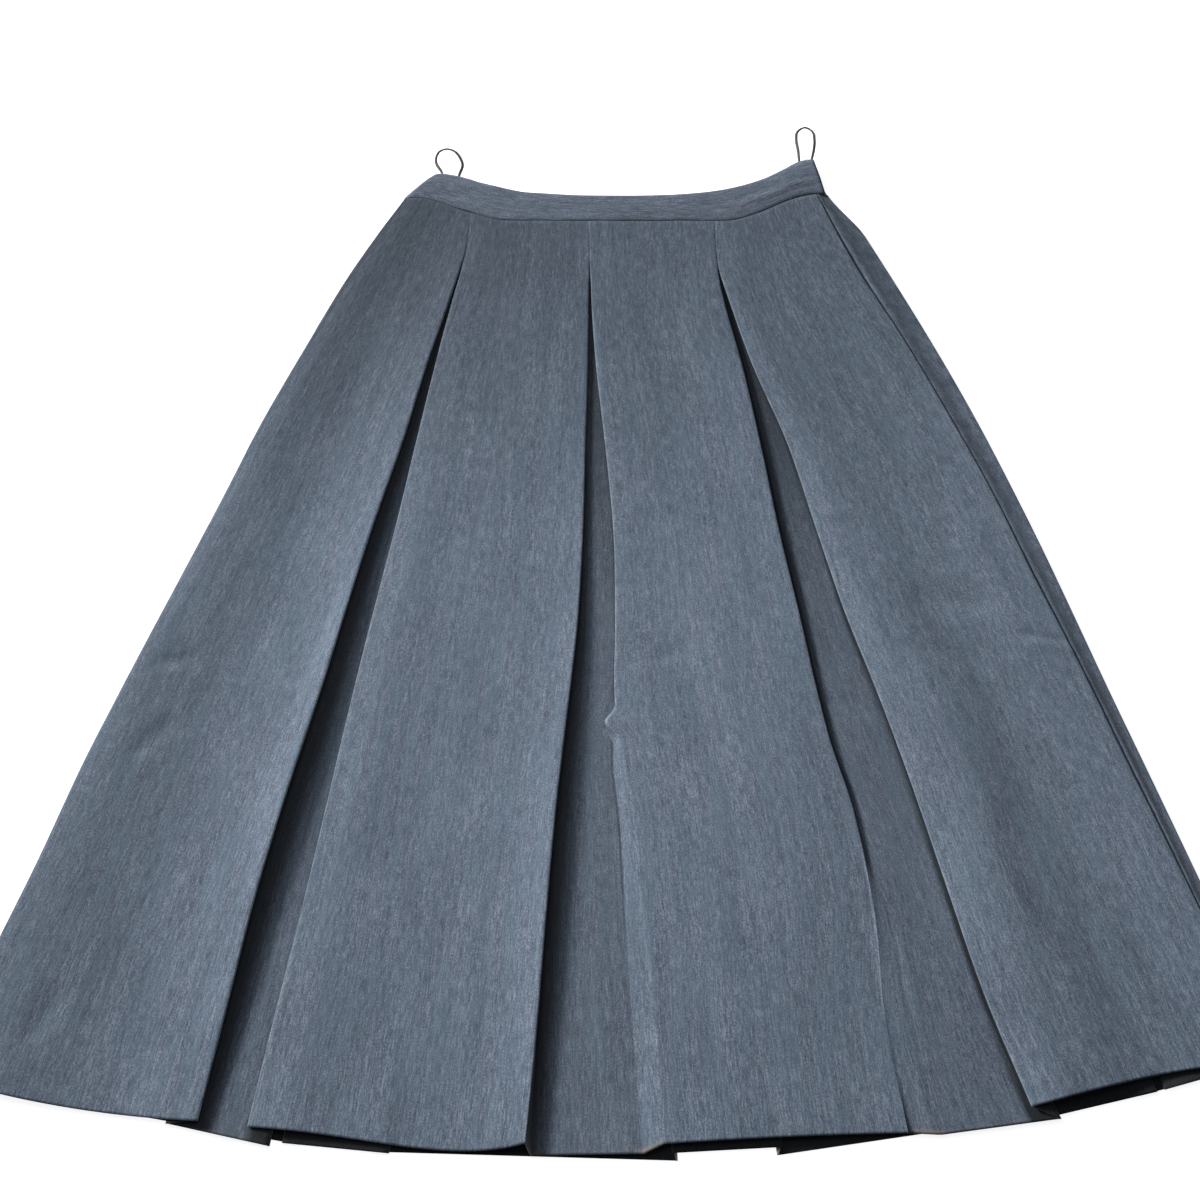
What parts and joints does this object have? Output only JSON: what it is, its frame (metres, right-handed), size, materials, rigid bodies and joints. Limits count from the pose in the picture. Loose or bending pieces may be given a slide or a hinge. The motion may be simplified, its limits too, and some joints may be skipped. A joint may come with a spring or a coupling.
{
  "type": "pleated midi skirt",
  "caption": "Flared midi skirt with inverted pleats stitched below a shaped waistband, laid flat, with narrow hanger loops.",
  "frame": {"origin": "middle of the skirt's width and whole length, on the surface it lies on", "axes": "+Y towards the waistband and its loops, +X to the wearer's left as the front is seen from above, +Z out of the front, away from the surface"},
  "size_m": [0.929, 0.8483, 0.018],
  "materials": {
    "suiting_front": "grey-blue heather suiting with fine lengthwise streaks, matt",
    "suiting_back": "grey-blue heather suiting with fine lengthwise streaks, matt",
    "suiting_band_front": "the same suiting cut crosswise, interfaced, matt",
    "suiting_band_back": "the same suiting cut crosswise, interfaced, matt",
    "satin_tape_left": "narrow dark satin tape, soft sheen",
    "satin_tape_right": "narrow dark satin tape, soft sheen",
    "zip_tape": "woven zip tape, closed"
  },
  "bodies": {
    "root": {"front_panel": "suiting_front", "back_panel": "suiting_back", "waistband_front": "suiting_band_front", "waistband_back": "suiting_band_back", "hanger_loop_left": "satin_tape_left", "hanger_loop_right": "satin_tape_right", "side_zip": "zip_tape"}
  },
  "joints": []
}
